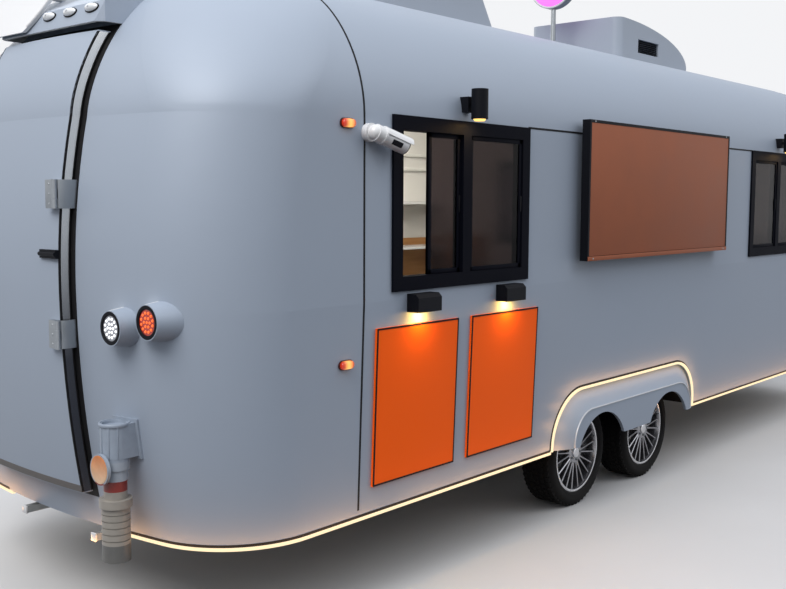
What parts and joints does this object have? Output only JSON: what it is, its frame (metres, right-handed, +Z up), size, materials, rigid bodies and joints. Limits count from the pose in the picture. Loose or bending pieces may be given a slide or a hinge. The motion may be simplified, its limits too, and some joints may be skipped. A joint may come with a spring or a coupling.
{
  "type": "food trailer",
  "caption": "Food trailer with a rounded hollow shell, hinged rear door, serving windows, menu boards, twin axles and an A-frame drawbar with a jockey wheel.",
  "frame": {"origin": "on the ground, under the middle of the overall box", "axes": "+X along the trailer to the coupling, +Y to the left side, +Z up"},
  "size_m": [8.287, 2.3158, 3.255],
  "materials": {
    "shell_paint": "satin",
    "black_frame": "satin",
    "window_glass": "polished",
    "black_rubber": "matte",
    "steel": "satin",
    "white_plastic": "gloss",
    "marker_lens": "gloss",
    "galvanised": "matte",
    "black_steel": "satin",
    "tyre": "matte",
    "alloy": "satin",
    "liner": "matte",
    "floor_board": "matte",
    "board_orange": "satin",
    "copper_panel": "satin",
    "black_plastic": "matte",
    "lamp_lens": "gloss",
    "clear_lens": "gloss",
    "strip_light": "matte",
    "grey_plastic": "satin",
    "roof_unit_paint": "satin",
    "stainless": "satin"
  },
  "bodies": {
    "root": {"cap_rear": "shell_paint", "cap_front": "shell_paint", "roof": "shell_paint", "wall_right": "shell_paint", "wall_left": "shell_paint", "window_frames": "black_frame", "window_glass": "window_glass", "door_seal": "black_rubber", "door_hinges": "steel", "door_brow": "shell_paint", "round_plate": "white_plastic", "marker_lamps": "marker_lens", "axle_rear": "galvanised", "axle_front": "galvanised", "arch_flares": "shell_paint", "wheel_boxes": "liner", "floor": "floor_board", "chassis": "galvanised", "drawbar": "galvanised", "coupling": "black_steel", "jockey_tube": "galvanised", "menu_boards": "board_orange", "box_lamps": "black_plastic", "sign_board": "copper_panel", "spot_lamps": "black_plastic", "lamp_pods": "shell_paint", "lamp_lenses": "lamp_lens", "light_strips": "strip_light", "wall_camera": "white_plastic", "power_inlet": "grey_plastic", "roof_units": "roof_unit_paint", "roof_sign": "white_plastic", "worktops": "stainless", "brow_lamps": "clear_lens", "wall_shelves": "white_plastic"},
    "wheel_right_rear": {"tyre_right_rear": "tyre", "rim_right_rear": "alloy"},
    "wheel_right_front": {"tyre_right_front": "tyre", "rim_right_front": "alloy"},
    "wheel_left_rear": {"tyre_left_rear": "tyre", "rim_left_rear": "alloy"},
    "wheel_left_front": {"tyre_left_front": "tyre", "rim_left_front": "alloy"},
    "door": {"rear_door": "shell_paint", "door_fittings": "black_plastic"},
    "jockey_leg": {"jockey_leg": "galvanised"},
    "jockey_fork": {"jockey_fork": "galvanised"},
    "jockey_wheel": {"jockey_wheel": "black_rubber"},
    "steady_right_rear": {"steady_right_rear": "galvanised"},
    "steady_left_rear": {"steady_left_rear": "galvanised"},
    "steady_right_front": {"steady_right_front": "galvanised"},
    "steady_left_front": {"steady_left_front": "galvanised"}
  },
  "joints": [
    {"name": "wheel_right_rear_spin", "type": "hinge", "parent": "root", "child": "wheel_right_rear", "pos_m": [-1.3895, -0.8325, 0.289], "axis": [0, 1, 0], "continuous": true},
    {"name": "wheel_right_front_spin", "type": "hinge", "parent": "root", "child": "wheel_right_front", "pos_m": [-0.6165, -0.8325, 0.289], "axis": [0, 1, 0], "continuous": true},
    {"name": "wheel_left_rear_spin", "type": "hinge", "parent": "root", "child": "wheel_left_rear", "pos_m": [-1.3895, 0.8325, 0.289], "axis": [0, 1, 0], "continuous": true},
    {"name": "wheel_left_front_spin", "type": "hinge", "parent": "root", "child": "wheel_left_front", "pos_m": [-0.6165, 0.8325, 0.289], "axis": [0, 1, 0], "continuous": true},
    {"name": "door_swing", "type": "hinge", "parent": "root", "child": "door", "pos_m": [-4.13349, -0.355, 1.4], "axis": [0, 0, 1], "range_deg": [0, 115]},
    {"name": "jockey_height", "type": "slide", "parent": "root", "child": "jockey_leg", "axis": [0, 0, 1], "range_m": [-0.1, 0.08]},
    {"name": "jockey_swivel", "type": "hinge", "parent": "jockey_leg", "child": "jockey_fork", "pos_m": [3.56, 0, 0.236], "axis": [0, 0, 1], "continuous": true},
    {"name": "jockey_spin", "type": "hinge", "parent": "jockey_fork", "child": "jockey_wheel", "pos_m": [3.52, 0, 0.11], "axis": [0, 1, 0], "continuous": true},
    {"name": "steady_right_rear_swing", "type": "hinge", "parent": "root", "child": "steady_right_rear", "pos_m": [-3.3, -0.47, 0.316], "axis": [0, -1, 0], "range_deg": [0, 65]},
    {"name": "steady_left_rear_swing", "type": "hinge", "parent": "root", "child": "steady_left_rear", "pos_m": [-3.3, 0.47, 0.316], "axis": [0, -1, 0], "range_deg": [0, 65]},
    {"name": "steady_right_front_swing", "type": "hinge", "parent": "root", "child": "steady_right_front", "pos_m": [1.75, -0.47, 0.316], "axis": [0, 1, 0], "range_deg": [0, 65]},
    {"name": "steady_left_front_swing", "type": "hinge", "parent": "root", "child": "steady_left_front", "pos_m": [1.75, 0.47, 0.316], "axis": [0, 1, 0], "range_deg": [0, 65]}
  ]
}
